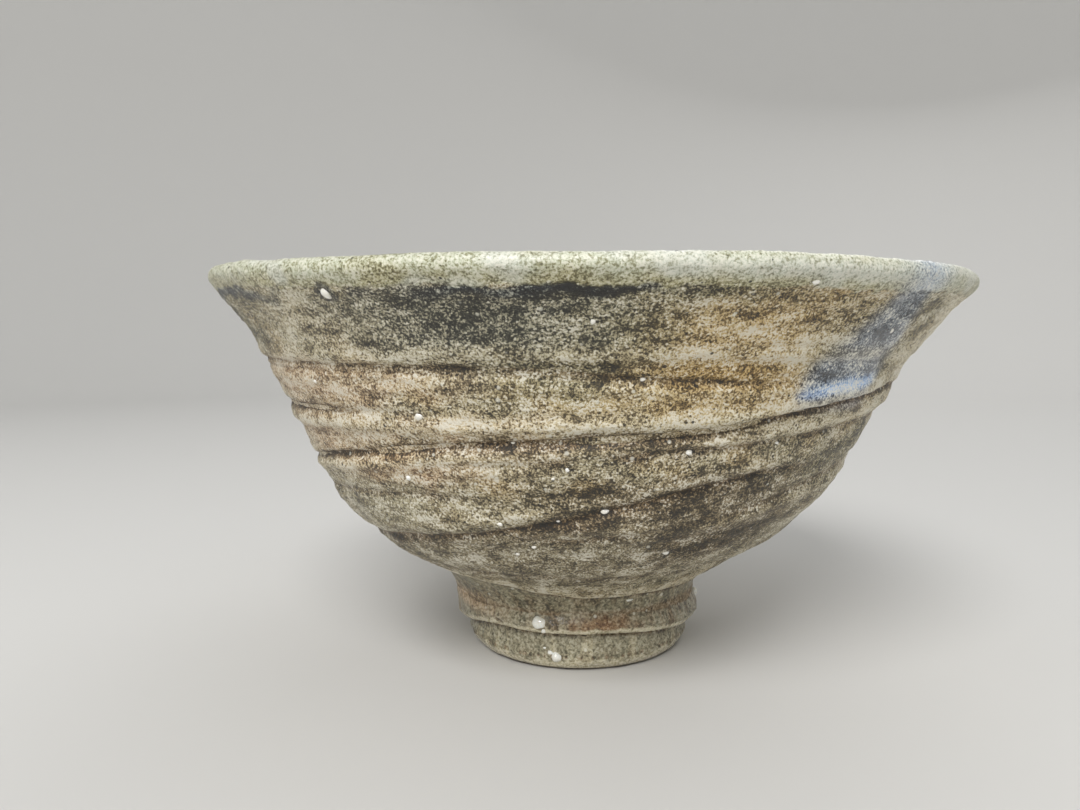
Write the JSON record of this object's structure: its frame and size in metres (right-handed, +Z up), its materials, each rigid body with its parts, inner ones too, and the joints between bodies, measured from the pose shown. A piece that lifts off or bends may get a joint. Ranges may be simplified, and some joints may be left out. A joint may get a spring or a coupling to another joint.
{
  "type": "matcha bowl",
  "caption": "Wide flaring stoneware tea bowl on a stepped foot ring, for whisking and drinking matcha.",
  "frame": {"origin": "centre of the foot ring, on the surface the bowl stands on", "axes": "+Z up along the bowl's axis; -Y towards the front, from where the blue run is on the right"},
  "size_m": [0.148, 0.148, 0.075],
  "materials": {
    "clay": "coarse fired stoneware, matt",
    "foot_clay": "fired stoneware with a thin ash flash, rust-brown in patches",
    "ash_glaze": "speckled ash glaze, semi-matt, ochre, grey and pink-tan by zones",
    "rim_glaze": "thick glossy pale green-cream glaze",
    "inner_glaze": "speckled ash glaze, satin",
    "pool_glass": "pooled green glass, glossy",
    "blue_glaze": "slate-blue run with a light blue pool, glossy",
    "feldspar": "melted white feldspar, glossy",
    "drop_glaze": "clear pale glaze beads, glossy"
  },
  "bodies": {
    "root": {"clay_wall": "clay", "foot_ring": "foot_clay", "outer_glaze": "ash_glaze", "rim_glaze": "rim_glaze", "inner_glaze": "inner_glaze", "well_pool": "pool_glass", "blue_run": "blue_glaze", "feldspar_stones": "feldspar", "foot_drops": "drop_glaze"}
  },
  "joints": []
}
